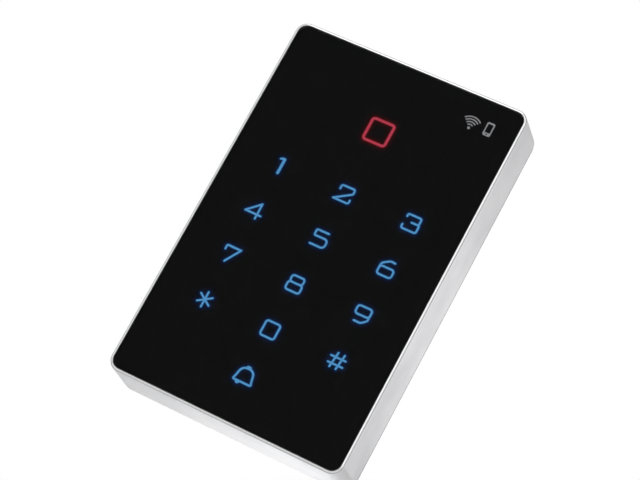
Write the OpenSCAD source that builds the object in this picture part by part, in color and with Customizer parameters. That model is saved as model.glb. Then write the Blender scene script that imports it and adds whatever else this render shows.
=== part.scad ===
// Wall-mounted touch keypad and card reader.
// Millimetres. +Z is up and -Y is the front, as the reader hangs on its wall.
// The origin is the middle of the wall bracket's screw holes, in the wall plane y = 0.

/* [Housing] */
// Width of the housing, side to side
body_w = 82; // [80:0.5:90]
// Height of the housing
body_h = 127.5; // [126:0.5:140]
// Depth from the front lip to the wall
body_d = 20; // [20:0.5:24]
// Outer corner radius seen from the front
body_r = 4.1; // [3.8:0.1:6]
// How much further out each side is at the rear edge than at the front
draft = 0.5; // [0.3:0.1:0.8]
// Wall thickness of the metal frame at the front
wall = 1.6; // [1.4:0.1:1.8]
// Width of the bright lip round the glass
lip = 0.85; // [0.8:0.05:1.1]

/* [Front glass] */
// Thickness of the tempered glass
glass_t = 1.1; // [0.8:0.1:1.4]
// How far the glass sits below the lip
glass_sink = 0.1; // [0:0.05:0.2]
// Gap between the glass edge and the lip
glass_gap = 0.1; // [0.05:0.05:0.15]

/* [Keypad] */
// Distance between key columns
key_pitch_x = 23.4; // [22:0.1:24]
// Distance between key rows
key_pitch_z = 16.2; // [15:0.05:17]
// Height of the top key row above the middle
key_row_z = 16.8; // [14:0.05:18]
// Stroke width of the lit symbols
stroke_w = 0.75; // [0.6:0.05:0.9]
// Outer size of the square indicator
indicator_size = 8.8; // [8:0.1:10]
// Height of the indicator above the middle
indicator_z = 39.5; // [37:0.1:42]

/* [Wall mounting] */
// Spacing of the inner pair of wall screw holes
inner_hole_spacing = 60.3; // [60.3:0.1:60.3]
// Spacing of the outer pair of wall screw holes
outer_hole_spacing = 83.5; // [83.5:0.1:83.5]
// Diameter of the wall screw holes
wall_hole_d = 4.2; // [3.6:0.1:4.6]
// Thickness of the bracket's sheet steel
bracket_t = 1.2; // [1:0.1:1.2]
// Travel of the lock screw
lock_travel = 2.6; // [2:0.1:2.6]
// How far the tamper plunger stands out of the back
tamper_travel = 1.8; // [1:0.1:2]

/* [Hidden] */
$fn = 64;

// Depth positions, front to back, as y values
front_y = -body_d;
glass_y = front_y + glass_sink;
mask_y = glass_y + glass_t;
mask_t = 0.2;
ink_y = mask_y + mask_t;
ink_t = 0.1;
diffuser_t = 0.5;
ledge_y = ink_y + 0.4;
ledge_t = 1.4;
cavity_y = ledge_y + ledge_t;
touch_y = ink_y + diffuser_t;
touch_t = 1.2;
electrode_t = 0.1;
baffle_y = touch_y + touch_t + electrode_t;
baffle_t = 1.8;
board_y = baffle_y + baffle_t;
board_t = 1.6;
parts_y = board_y + board_t;
cover_flange_t = 1.2;
gasket_t = 0.3;
frame_back_y = -cover_flange_t - gasket_t;
cover_front_y = -4;
pocket_y = -2.4;

// Plan sizes
glass_w = body_w - 2 * lip - 2 * glass_gap;
glass_h = body_h - 2 * lip - 2 * glass_gap;
glass_r = body_r - lip - glass_gap;
rear_w = body_w + 2 * draft;
rear_h = body_h + 2 * draft;
rear_r = body_r + draft;
cavity_w = body_w - 2 * wall;
cavity_h = body_h - 2 * wall;
cavity_r = body_r - wall;
ledge_open_w = body_w - 7;
ledge_open_h = body_h - 7;
board_w = ledge_open_w - 0.6;
touch_h = ledge_open_h - 0.6;
board_h = body_h - 17.1;
cover_fit = 0.2;
cover_inset = 0.3;
pocket_w = 57;
pocket_top = 57;
pocket_bottom = -58;
cover_screw_x = body_w / 2 - 5.4;
cover_screw_z = body_h / 2 - 5.15;
board_screw_x = 35;
board_screw_z = 44;
cover_screw_head_r = 2.6;
cover_screw_head_t = 1.6;
cover_screw_r = 1.3;
board_screw_r = 1;
// Board screw bosses: front end, and the notch in the touch board that clears them
board_boss_y = touch_y + 0.1;
board_notch = 5;

// Keys: each place is [column, row], with one light cell, board window and electrode behind it
cell = 9;
window = 7.4;
electrode = 13;
led = [3.5, 2.8];
led_t = 1.4;
key_columns = [-1, 0, 1];
function key_x(column) = column * key_pitch_x;
function key_z(row) = key_row_z - row * key_pitch_z;
key_places = concat(
    [for (row = [0:3], column = key_columns) [column, row]],
    [[0, 4]]
);
key_field_top = key_row_z + 7;
key_field_bottom = key_z(4) - 6.2;
key_field_h = key_field_top - key_field_bottom;
key_field_z = (key_field_top + key_field_bottom) / 2;
key_field_w = 2 * key_pitch_x + 15;
indicator_cell = 9.6;
indicator_block = 13;

// Status icons in the top right corner, and the printed patch behind each
icon_x = 25;
icon_z = 52.3;
phone_x = 31;
phone_z = icon_z + 1.9;
ink_h = 6.2;

// Aerial coil: outer and inner size, and thickness
coil_outer = [58, 26];
coil_inner = [53, 21];
coil_t = 1.6;

// Parts on the back of the main board: [x, z, width, height, how far it stands off the board]
controller = [6, 22, 9, 9, 1.5];
touch_ic = [4, -34, 9.8, 4, 1.7];
radio_board = [-20, -28, 18, 25, 0.8];
radio_shield = [-20, -31, 15.5, 17, 3.2];
relay_case = [-24, 28, 10.4, 20, 8.4];
sounder = [23, 34, 12, 12, 7.5];
inductor_case = [26, 16, 7.3, 7.3, 4];
capacitor_base = [-8, 28, 6.6, 6.6, 0.8];
capacitor_r = 3.15;
capacitor_h = 7.7;

// Bracket
bracket_w = 52;
bracket_bottom = -54;
bracket_top = 54.8;
hook_x = 18;
hook_w = 8;
hook_reach = 7.6;
hook_top = -49.5;
flange_w = 12;
flange_reach = 12;
window_w = 34;
window_h = 24;

// Lock screw
lock_y = -9;
lock_seat_z = body_h / 2 - 4.65;
lock_bore_r = 3.2;
lock_boss_r = 4.4;
lock_boss_z = lock_seat_z - 3;
insert_r = 2.1;
thread_r = 1.5;
thread_gap = 0.05;
lock_washer_r = 3;
lock_washer_t = 0.5;
lock_head_r = 2.7;
lock_head_t = 1.8;
lock_length = 6.2;
lock_rest_z = lock_seat_z + lock_travel;

// Tamper switch
tamper_x = 19;
tamper_z = -19;
tamper_body_y = -8;
plunger_r = 1.6;
collar_r = 2.7;
collar_t = 0.8;
collar_y = cover_front_y - 0.1 - collar_t;
spring_wire_r = 0.16;
spring_r = 2.1;
spring_turns = 3;

// Cable header
header_w = 22;
header_h = 6.6;
header_wall = 0.9;
header_back_y = -4.6;
pin_pitch = 2.54;
pin_count = 7;
pin_size = 0.64;
pin_tip_y = -9.3;

// ---------- Shared shapes ----------

// A flat rounded rectangle, centred, drawn in the plane of the face
module plate2d(w, h, r) {
    square([w - 2 * r, h], center = true);
    square([w, h - 2 * r], center = true);
    for (sx = [-1, 1], sz = [-1, 1])
        translate([sx * (w / 2 - r), sz * (h / 2 - r)]) circle(r);
}

// Turns a flat shape in the plane of the face into a slab from depth y0 back to depth y1
module slab(y0, y1) {
    translate([0, y1, 0]) rotate([90, 0, 0]) linear_extrude(y1 - y0) children();
}

// A round bar or hole along the depth, from y0 to y1
module rod(x, z, r, y0, y1) {
    translate([x, y1, z]) rotate([90, 0, 0]) cylinder(r = r, h = y1 - y0);
}

// A box given by its centre in the face and its depth range
module block(x, z, w, h, y0, y1) {
    translate([x - w / 2, y0, z - h / 2]) cube([w, y1 - y0, h]);
}

// Places children at the four corners x, z
module corners(x, z) {
    for (sx = [-1, 1], sz = [-1, 1]) translate([sx * x, 0, sz * z]) children();
}

// ---------- Symbol strokes ----------

function unit(v) = v / norm(v);
function normal(v) = [-v[1], v[0]];

// Points of the arc that rounds corner b of the path a, b, c
function corner_arc(a, b, c, r) =
    let (
        u = unit(a - b),
        v = unit(c - b),
        half = acos(max(-1, min(1, u * v))) / 2,
        cut = min(r / tan(half), norm(a - b) * 0.49, norm(c - b) * 0.49),
        rr = cut * tan(half),
        centre = b + unit(u + v) * rr / sin(half),
        p = b + u * cut - centre,
        side = cross(u, v) > 0 ? -1 : 1,
        sweep = 180 - 2 * half,
        steps = max(2, ceil(sweep / 15))
    )
    [for (i = [0:steps]) let (t = side * sweep * i / steps)
        centre + [p[0] * cos(t) - p[1] * sin(t), p[0] * sin(t) + p[1] * cos(t)]];

// An open path with every inner corner rounded
function rounded_path(p, r) = concat(
    [p[0]],
    [for (i = [1:1:len(p) - 2]) each corner_arc(p[i - 1], p[i], p[i + 1], r)],
    [p[len(p) - 1]]
);

// A closed path with every corner rounded
function rounded_loop(p, r) =
    [for (i = [0:len(p) - 1])
        each corner_arc(p[(i + len(p) - 1) % len(p)], p[i], p[(i + 1) % len(p)], r)];

// Points at distance d to the left of an open path
function beside(p, d) = [for (i = [0:len(p) - 1])
    p[i] + d * normal(unit(p[min(i + 1, len(p) - 1)] - p[max(i - 1, 0)]))];

// Round cap points at the end q of a stroke that runs along direction u
function cap(q, u, r) = [for (t = [75:-15:-75])
    q + r * (unit(u) * cos(t) + normal(unit(u)) * sin(t))];

// One open stroke as an outline with round ends
module open_stroke(path, r) {
    p = rounded_path(path, r);
    n = len(p);
    back = beside(p, -stroke_w / 2);
    polygon(concat(
        beside(p, stroke_w / 2),
        cap(p[n - 1], p[n - 1] - p[n - 2], stroke_w / 2),
        [for (i = [n - 1:-1:0]) back[i]],
        cap(p[0], p[0] - p[1], stroke_w / 2)
    ));
}

// One closed stroke as a ring
module loop_stroke(path, r) {
    outer = [for (q = path) q + [sign(q[0]), sign(q[1] - loop_middle(path))] * stroke_w / 2];
    inner = [for (q = path) q - [sign(q[0]), sign(q[1] - loop_middle(path))] * stroke_w / 2];
    difference() {
        polygon(rounded_loop(outer, r + stroke_w / 2));
        polygon(rounded_loop(inner, max(r - stroke_w / 2, 0.15)));
    }
}
function loop_middle(path) = (max([for (q = path) q[1]]) + min([for (q = path) q[1]])) / 2;

// Half sizes of a digit, measured to the middle of its stroke
gx = 2.45;
gz = 2.5;

module digit_one() open_stroke([[-0.9, 2.3], [-0.2, gz], [0.7, gz], [0.7, -gz - 0.1]], 0.4);
module digit_two()
    open_stroke([[-2.2, 1.15], [-2.2, gz], [gx, gz], [gx, 0.9], [-gx - 0.1, -gz], [gx, -gz],
        [gx, -1.3]], 0.6);
module digit_three() {
    open_stroke([[-2.25, 1.4], [-2.25, gz], [2.3, gz], [2.3, 0.25], [2.5, -0.2], [2.5, -gz],
        [-gx, -gz], [-gx, -1.3]], 0.5);
    open_stroke([[-0.6, 0.22], [2.4, 0.22]], 0.4);
}
module digit_four() {
    open_stroke([[1.35, gz], [-2.6, -1.25], [2.65, -1.25]], 0.45);
    open_stroke([[1.35, gz], [1.4, -gz - 0.1]], 0.4);
}
module digit_five() {
    open_stroke([[1.75, gz], [-2.35, gz], [-2.35, 0.5], [0, 0.5]], 0.45);
    open_stroke([[-0.3, 0.5], [gx, 0.5], [gx, -gz], [-2.35, -gz]], 1.2);
}
module digit_six() {
    loop_stroke([[-gx, 0.3], [gx, 0.3], [gx, -gz], [-gx, -gz]], 0.9);
    open_stroke([[1.55, gz], [0.1, gz + 0.15], [-gx + 0.05, 1.1], [-gx, -0.6]], 1.2);
}
module digit_seven() open_stroke([[-2.25, 1.1], [-2.3, gz], [gx, gz], [-0.5, -gz - 0.1]], 0.45);
module digit_eight() {
    loop_stroke([[-2.25, gz], [2.25, gz], [2.25, 0.2], [-2.25, 0.2]], 0.6);
    loop_stroke([[-gx, 0.2], [gx, 0.2], [gx, -gz], [-gx, -gz]], 0.6);
}
module digit_nine() {
    loop_stroke([[-gx, gz], [gx, gz], [gx, -0.3], [-gx, -0.3]], 0.9);
    open_stroke([[gx, 0.4], [2.3, -1.2], [0.7, -gz], [-1.4, -gz]], 1.2);
}
module digit_zero() loop_stroke([[-gx, gz], [gx, gz], [gx, -gz], [-gx, -gz]], 0.8);
module star() for (a = [0, 57, -57]) rotate(a) open_stroke([[0, 2.6], [0, -2.6]], 0.4);
module hash() {
    for (x = [-0.85, 1.45]) open_stroke([[x, gz], [x - 0.6, -gz]], 0.4);
    for (z = [1, -1.3]) open_stroke([[-2.6, z], [gx, z]], 0.4);
}
module bell() {
    for (s = [-1, 1])
        open_stroke([[0, -2.1], [s * 3.15, -2.1], [s * 2.5, -0.4], [s * 2.1, 2.4], [0, 2.4]], 1.4);
    open_stroke([[-0.35, 2.9], [0.35, 2.9]], 0.4);
    open_stroke([[-1.75, -2.3], [-1.25, -2.75], [-0.75, -2.3]], 0.3);
}

module key_symbol(column, row) {
    if (row == 0 && column == -1) digit_one();
    if (row == 0 && column == 0) digit_two();
    if (row == 0 && column == 1) digit_three();
    if (row == 1 && column == -1) digit_four();
    if (row == 1 && column == 0) digit_five();
    if (row == 1 && column == 1) digit_six();
    if (row == 2 && column == -1) digit_seven();
    if (row == 2 && column == 0) digit_eight();
    if (row == 2 && column == 1) digit_nine();
    if (row == 3 && column == -1) star();
    if (row == 3 && column == 0) digit_zero();
    if (row == 3 && column == 1) hash();
    if (row == 4) bell();
}

// The radio icon: a dot under arcs that open upwards
module radio_icon() {
    circle(0.5);
    for (r = [1.35:0.95:4.2])
        intersection() {
            difference() {
                circle(r + 0.24);
                circle(r - 0.24);
            }
            polygon([[0, 0], [-6, 6.6], [6, 6.6]]);
        }
}

// The handset icon: a small phone outline
module handset_icon() {
    difference() {
        plate2d(2.6, 4.6, 0.5);
        translate([0, 0.25]) square([1.7, 2.9], center = true);
        translate([0, -1.75]) circle(0.25);
    }
}

// ---------- Front ----------

// The housing's outer shape, which widens evenly from the front to the rear edge
module drafted_body() hull() {
    slab(front_y, front_y + 0.05) plate2d(body_w, body_h, body_r);
    slab(frame_back_y - 0.05, frame_back_y) plate2d(rear_w, rear_h, rear_r);
}

module front_frame() color("silver") {
    difference() {
        union() {
            difference() {
                drafted_body();
                slab(front_y - 1, ledge_y)
                    plate2d(glass_w + 2 * glass_gap, glass_h + 2 * glass_gap, glass_r + glass_gap);
                slab(ledge_y - 1, cavity_y + 1) plate2d(ledge_open_w, ledge_open_h, 2);
                slab(cavity_y, 1) plate2d(cavity_w, cavity_h, cavity_r);
            }
            frame_bosses();
        }
        corners(cover_screw_x, cover_screw_z) rod(0, 0, 1.05, -16, 1);
        corners(board_screw_x, board_screw_z) rod(0, 0, 0.8, board_boss_y + 0.6, 1);
        translate([0, lock_y, lock_boss_z - 1]) cylinder(r = insert_r, h = 10);
        translate([0, lock_y, lock_seat_z]) cylinder(r = lock_bore_r, h = 10);
    }
}

// Screw bosses inside the frame, tied to its walls
module frame_bosses() {
    corners(cover_screw_x, cover_screw_z) rod(0, 0, 3.1, cavity_y, cover_front_y - 0.1);
    for (sx = [-1, 1], sz = [-1, 1]) {
        block(sx * (cover_screw_x + 2.6), sz * cover_screw_z, 3.4, 3, cavity_y, cover_front_y - 0.1);
        block(sx * (board_screw_x + 2.8), sz * board_screw_z, 4, 2.4, board_boss_y, board_y);
    }
    corners(board_screw_x, board_screw_z) rod(0, 0, 2.2, board_boss_y, board_y);
    translate([0, lock_y, lock_boss_z])
        cylinder(r = lock_boss_r, h = body_h / 2 - wall - lock_boss_z + 0.4);
}

module glass_panel() color([0.3, 0.32, 0.35, 0.4])
    slab(glass_y, mask_y) plate2d(glass_w, glass_h, glass_r);

module mask_film() color([0.06, 0.06, 0.07])
    slab(mask_y, ink_y) difference() {
        plate2d(glass_w, glass_h, glass_r);
        for (place = key_places)
            translate([key_x(place[0]), key_z(place[1])]) key_symbol(place[0], place[1]);
        translate([0, indicator_z]) indicator_ring();
        translate([icon_x, icon_z]) radio_icon();
        translate([phone_x, phone_z]) handset_icon();
    }

// The square indicator window
module indicator_ring() {
    difference() {
        plate2d(indicator_size, indicator_size, 1.3);
        plate2d(indicator_size - 2.3, indicator_size - 2.3, 0.5);
    }
}

module status_icon_ink() color([0.6, 0.61, 0.62]) {
    slab(ink_y, ink_y + ink_t) translate([icon_x, phone_z]) plate2d(8, ink_h, 0.5);
    slab(ink_y, ink_y + ink_t) translate([phone_x + 0.3, phone_z]) plate2d(3.6, ink_h, 0.5);
}

module panel_gasket() color([0.12, 0.12, 0.12])
    slab(ink_y, ledge_y) difference() {
        plate2d(glass_w - 0.4, glass_h - 0.4, glass_r);
        plate2d(ledge_open_w + 0.4, ledge_open_h + 0.4, 2);
    }

module key_diffuser() color([0.2, 0.55, 0.95])
    slab(ink_y, touch_y) translate([0, key_field_z]) plate2d(key_field_w, key_field_h, 2);

module indicator_diffuser() color([0.85, 0.15, 0.2])
    slab(ink_y, touch_y) translate([0, indicator_z]) plate2d(indicator_block, indicator_block, 1.5);

// ---------- Touch and light ----------

module touch_board() color([0.05, 0.2, 0.12])
    slab(touch_y, touch_y + touch_t) difference() {
        plate2d(board_w, touch_h, 1.8);
        for (place = key_places)
            translate([key_x(place[0]), key_z(place[1])]) square(window, center = true);
        translate([0, indicator_z]) square(indicator_cell, center = true);
        for (sx = [-1, 1], sz = [-1, 1])
            translate([sx * (board_screw_x + 1.2), sz * board_screw_z])
                square([board_notch + 2.4, board_notch], center = true);
    }

module touch_electrodes() color([0.85, 0.6, 0.3])
    for (place = key_places)
        slab(touch_y + touch_t, baffle_y) translate([key_x(place[0]), key_z(place[1])]) difference() {
            square(electrode, center = true);
            square(window + 1, center = true);
        }

module light_baffle() color([0.93, 0.93, 0.9])
    slab(baffle_y, board_y) difference() {
        translate([0, key_field_z]) plate2d(key_field_w, key_field_h, 2);
        for (place = key_places)
            translate([key_x(place[0]), key_z(place[1])]) square(cell, center = true);
    }

module indicator_light_pipe() color([0.93, 0.93, 0.9])
    slab(baffle_y, board_y) translate([0, indicator_z]) difference() {
        plate2d(indicator_block, indicator_block, 1.5);
        square(indicator_cell, center = true);
    }

module antenna_coil() color([0.72, 0.4, 0.2])
    slab(baffle_y, baffle_y + coil_t) translate([0, indicator_z]) difference() {
        plate2d(coil_outer[0], coil_outer[1], 5);
        plate2d(coil_inner[0], coil_inner[1], 3);
    }

module board_link() color([0.1, 0.1, 0.1])
    block(-18, indicator_z, 3, 14, baffle_y, board_y);

module key_leds() color([0.85, 0.9, 1])
    for (place = key_places)
        block(key_x(place[0]), key_z(place[1]), led[0], led[1], board_y - led_t, board_y);

module indicator_led() color([1, 0.85, 0.8])
    block(0, indicator_z, led[0], led[1], board_y - led_t, board_y);

// ---------- Main board ----------

module main_board() color([0.02, 0.3, 0.16])
    slab(board_y, parts_y) difference() {
        plate2d(board_w, board_h, 1.5);
        for (sx = [-1, 1], sz = [-1, 1])
            translate([sx * board_screw_x, sz * board_screw_z]) circle(board_screw_r + 0.15);
    }

module board_screws() color([0.75, 0.75, 0.75])
    corners(board_screw_x, board_screw_z) {
        rod(0, 0, 0.78, board_y - 2.2, board_y);
        rod(0, 0, board_screw_r, board_y, parts_y);
        difference() {
            rod(0, 0, 1.9, parts_y, parts_y + 1.3);
            block(0, 0, 2.2, 0.5, parts_y + 0.6, parts_y + 2);
            block(0, 0, 0.5, 2.2, parts_y + 0.6, parts_y + 2);
        }
    }

// A part on the back of the board, with corner radius r and its base raised off the board
module board_part(part, r, raised = 0)
    slab(parts_y + raised, parts_y + part[4])
        translate([part[0], part[1]]) plate2d(part[2], part[3], r);

module controller_chip() color([0.1, 0.1, 0.11]) {
    board_part(controller, 0.2, 0.1);
    for (i = [-4:4], s = [-1, 1]) {
        block(controller[0] + s * 5, controller[1] + i * 0.8, 1.2, 0.35, parts_y, parts_y + 0.7);
        block(controller[0] + i * 0.8, controller[1] + s * 5, 0.35, 1.2, parts_y, parts_y + 0.7);
    }
}

module touch_chip() color([0.1, 0.1, 0.11]) {
    board_part(touch_ic, 0.2, 0.1);
    for (i = [-3:3], s = [-1, 1])
        block(touch_ic[0] + i * 1.27, touch_ic[1] + s * 2.5, 0.42, 1.2, parts_y, parts_y + 0.8);
}

module wireless_module() color([0.05, 0.12, 0.3])
    board_part(radio_board, 0.4);

module module_shield() color([0.8, 0.8, 0.8])
    board_part(radio_shield, 0.6, radio_board[4]);

module relay() color([0.1, 0.3, 0.65])
    board_part(relay_case, 0.5);

module buzzer() color([0.08, 0.08, 0.08])
    difference() {
        rod(sounder[0], sounder[1], sounder[2] / 2, parts_y, parts_y + sounder[4]);
        rod(sounder[0], sounder[1], 1.1, parts_y + sounder[4] - 1.5, parts_y + sounder[4] + 1);
    }

module power_inductor() color([0.25, 0.25, 0.26])
    board_part(inductor_case, 1);

module power_capacitor() color([0.75, 0.76, 0.78]) {
    board_part(capacitor_base, 1);
    rod(capacitor_base[0], capacitor_base[1], capacitor_r, parts_y + capacitor_base[4],
        parts_y + capacitor_h);
}

module cable_header() color([0.93, 0.92, 0.88])
    difference() {
        block(0, 0, header_w, header_h, parts_y, header_back_y);
        block(0, 0, header_w - 2 * header_wall, header_h - 2 * header_wall, parts_y + 1.2, 0);
        block(0, -header_h / 2, 8, 1.2, parts_y + 4.2, 0);
        for (i = [0:pin_count - 1])
            block((i - (pin_count - 1) / 2) * pin_pitch, 0, pin_size, pin_size, parts_y - 1, parts_y + 3);
    }

module header_pins() color([0.85, 0.75, 0.45])
    for (i = [0:pin_count - 1])
        block((i - (pin_count - 1) / 2) * pin_pitch, 0, pin_size, pin_size, parts_y, pin_tip_y);

// ---------- Tamper switch ----------

module tamper_switch() color([0.12, 0.12, 0.13])
    difference() {
        block(tamper_x, tamper_z, 7, 7, parts_y, tamper_body_y);
        rod(tamper_x, tamper_z, plunger_r + 0.1, tamper_body_y - 4.4, 0);
    }

module tamper_plunger() color([0.85, 0.2, 0.15]) {
    rod(tamper_x, tamper_z, plunger_r, tamper_body_y - 2, tamper_travel - 0.4);
    rod(tamper_x, tamper_z, collar_r, collar_y, collar_y + collar_t);
    rod(tamper_x, tamper_z, plunger_r - 0.3, tamper_travel - 0.4, tamper_travel);
}

// Ring of points round the spring's wire at angle a of the coil
spring_steps = 14;
wire_sides = 6;
spring_pitch = (collar_y - tamper_body_y - 2 * spring_wire_r - 0.04) / spring_turns;
function wire_ring(a) = [for (k = [0:wire_sides - 1])
    let (
        t = 360 * k / wire_sides,
        r = spring_r + spring_wire_r * cos(t)
    )
    [tamper_x + r * cos(a),
     tamper_body_y + 0.02 + spring_wire_r + spring_pitch * a / 360 + spring_wire_r * sin(t),
     tamper_z + r * sin(a)]];

module tamper_spring() color([0.8, 0.8, 0.82]) {
    n = spring_turns * spring_steps;
    points = [for (i = [0:n]) each wire_ring(360 * i / spring_steps)];
    sides = [for (i = [0:n - 1], k = [0:wire_sides - 1])
        let (j = (k + 1) % wire_sides)
        [i * wire_sides + k, i * wire_sides + j, (i + 1) * wire_sides + j, (i + 1) * wire_sides + k]];
    start = [for (k = [wire_sides - 1:-1:0]) k];
    finish = [for (k = [0:wire_sides - 1]) n * wire_sides + k];
    polyhedron(points, concat(sides, [start], [finish]));
}

// ---------- Back ----------

module rear_gasket() color([0.15, 0.15, 0.15])
    slab(frame_back_y, -cover_flange_t) difference() {
        plate2d(rear_w - 2 * cover_inset, rear_h - 2 * cover_inset, rear_r - cover_inset);
        plate2d(cavity_w + 0.4, cavity_h + 0.4, cavity_r);
    }

module rear_cover() color([0.13, 0.13, 0.14])
    difference() {
        union() {
            slab(-cover_flange_t, 0)
                plate2d(rear_w - 2 * cover_inset, rear_h - 2 * cover_inset, rear_r - cover_inset);
            slab(cover_front_y, -cover_flange_t)
                plate2d(cavity_w - 2 * cover_fit, cavity_h - 2 * cover_fit, cavity_r - cover_fit);
        }
        slab(pocket_y, 1) translate([0, (pocket_top + pocket_bottom) / 2])
            plate2d(pocket_w, pocket_top - pocket_bottom, 3);
        block(0, 0, header_w + 0.6, header_h + 0.6, cover_front_y - 1, 0);
        rod(tamper_x, tamper_z, plunger_r + 0.1, cover_front_y - 1, 0);
        block(0, 54.5, flange_w + 2, 2.8, cover_front_y - 1, 0);
        for (s = [-1, 1]) block(s * hook_x, -54.7, hook_w + 1.6, 5.6, cover_front_y - 1, 0);
        corners(cover_screw_x, cover_screw_z) {
            rod(0, 0, cover_screw_r + 0.15, cover_front_y - 1, 1);
            rotate([90, 0, 0])
                cylinder(r1 = cover_screw_head_r + 0.35, r2 = cover_screw_r + 0.15, h = cover_screw_head_t);
        }
    }

module blank_label() color([0.85, 0.85, 0.84])
    slab(pocket_y, pocket_y + 0.1) translate([0, 26]) plate2d(34, 16, 1);

module cover_screws() color([0.2, 0.2, 0.21])
    corners(cover_screw_x, cover_screw_z) difference() {
        union() {
            translate([0, -0.2, 0]) rotate([90, 0, 0])
                cylinder(r1 = cover_screw_head_r, r2 = cover_screw_r, h = cover_screw_head_t - 0.2);
            rod(0, 0, cover_screw_r, cover_front_y, -cover_screw_head_t + 0.1);
            rod(0, 0, 1.03, -11, cover_front_y + 0.1);
        }
        block(0, 0, 2.6, 0.6, -1, 0);
        block(0, 0, 0.6, 2.6, -1, 0);
    }

// ---------- Lock screw ----------

module lock_insert() color([0.78, 0.62, 0.3])
    translate([0, lock_y, lock_boss_z]) difference() {
        cylinder(r = insert_r, h = lock_seat_z - lock_boss_z);
        translate([0, 0, -1]) cylinder(r = thread_r + thread_gap, h = 10);
    }

module lock_washer() color([0.8, 0.8, 0.82])
    translate([0, lock_y, lock_rest_z]) difference() {
        cylinder(r = lock_washer_r, h = lock_washer_t);
        translate([0, 0, -1]) cylinder(r = thread_r + 0.1, h = 3);
    }

module lock_screw() color([0.6, 0.6, 0.62])
    translate([0, lock_y, lock_rest_z + lock_washer_t]) difference() {
        union() {
            cylinder(r = lock_head_r, h = lock_head_t);
            translate([0, 0, -lock_length]) cylinder(r = thread_r, h = lock_length + 0.1);
        }
        translate([0, 0, lock_head_t - 1]) cylinder(r = 1.2, h = 2, $fn = 6);
    }

// ---------- Wall bracket ----------

module wall_bracket() color([0.7, 0.71, 0.72]) {
    difference() {
        slab(-bracket_t, 0) difference() {
            translate([0, (bracket_top + bracket_bottom) / 2])
                plate2d(bracket_w, bracket_top - bracket_bottom, 3);
            plate2d(window_w, window_h, 2);
            translate([tamper_x, tamper_z]) circle(3.2);
            for (s = [-1, 1]) {
                translate([0, s * inner_hole_spacing / 2]) circle(wall_hole_d / 2);
                translate([0, s * outer_hole_spacing / 2]) circle(wall_hole_d / 2);
            }
        }
    }
    difference() {
        translate([-flange_w / 2, -flange_reach, bracket_top - bracket_t])
            cube([flange_w, flange_reach, bracket_t]);
        translate([0, lock_y, bracket_top - 5]) cylinder(r = thread_r + 0.2, h = 10);
    }
    for (s = [-1, 1]) translate([s * hook_x - hook_w / 2, 0, 0]) {
        translate([0, -hook_reach, bracket_bottom]) cube([hook_w, hook_reach, bracket_t]);
        translate([0, -hook_reach, bracket_bottom]) cube([hook_w, bracket_t, hook_top - bracket_bottom]);
    }
}

front_frame();
glass_panel();
mask_film();
status_icon_ink();
panel_gasket();
key_diffuser();
indicator_diffuser();
touch_board();
touch_electrodes();
light_baffle();
indicator_light_pipe();
antenna_coil();
board_link();
key_leds();
indicator_led();
main_board();
board_screws();
controller_chip();
touch_chip();
wireless_module();
module_shield();
relay();
buzzer();
power_inductor();
power_capacitor();
cable_header();
header_pins();
tamper_switch();
tamper_spring();
tamper_plunger();
rear_gasket();
rear_cover();
blank_label();
cover_screws();
lock_insert();
lock_washer();
lock_screw();
wall_bracket();
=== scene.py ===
from math import acos, cos, degrees, pi, radians, sin, tan

import bmesh
import bpy
import numpy as np
from mathutils import Matrix, Vector, geometry


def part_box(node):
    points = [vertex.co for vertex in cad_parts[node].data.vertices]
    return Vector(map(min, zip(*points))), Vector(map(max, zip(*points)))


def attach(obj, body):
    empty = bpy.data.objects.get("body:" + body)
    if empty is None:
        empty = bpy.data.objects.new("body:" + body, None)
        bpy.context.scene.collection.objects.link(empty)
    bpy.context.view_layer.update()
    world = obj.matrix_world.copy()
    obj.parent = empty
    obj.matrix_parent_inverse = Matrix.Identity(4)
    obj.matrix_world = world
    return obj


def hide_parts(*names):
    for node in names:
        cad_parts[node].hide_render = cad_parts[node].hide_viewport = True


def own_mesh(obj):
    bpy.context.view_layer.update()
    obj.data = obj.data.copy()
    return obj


# Looks for the keypad access reader: detailed meshes, materials, light and camera round the CAD frame.
# Row frame: +Z up as it hangs, +X to the right seen from the front, -Y the front, the wall at y = 0.
# Shapes are worked out in millimetres and turned into metres when a piece is made.

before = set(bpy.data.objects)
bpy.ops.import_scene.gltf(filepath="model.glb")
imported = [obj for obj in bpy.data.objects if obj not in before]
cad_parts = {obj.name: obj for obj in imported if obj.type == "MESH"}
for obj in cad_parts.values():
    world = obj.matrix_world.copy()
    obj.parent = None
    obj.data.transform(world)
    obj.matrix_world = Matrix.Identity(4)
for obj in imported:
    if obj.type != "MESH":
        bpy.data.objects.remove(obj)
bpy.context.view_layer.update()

MM = 0.001


def node_box(node):
    """Lowest and highest corner of a CAD node, in millimetres."""
    low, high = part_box(node)
    return low / MM, high / MM


# ---------- Driving sizes, read from the frame ----------

FRAME_LOW, FRAME_HIGH = node_box("front_frame")
GLASS_LOW, GLASS_HIGH = node_box("glass_panel")
COVER_LOW, COVER_HIGH = node_box("rear_cover")
BRACKET_LOW, BRACKET_HIGH = node_box("wall_bracket")
HEADER_LOW, HEADER_HIGH = node_box("cable_header")
PLUNGER_LOW, PLUNGER_HIGH = node_box("tamper_plunger")
SPRING_LOW, SPRING_HIGH = node_box("tamper_spring")
SCREW_LOW, SCREW_HIGH = node_box("lock_screw")
WASHER_LOW, WASHER_HIGH = node_box("lock_washer")
INSERT_LOW, INSERT_HIGH = node_box("lock_insert")
COIL_LOW, COIL_HIGH = node_box("antenna_coil")

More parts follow.
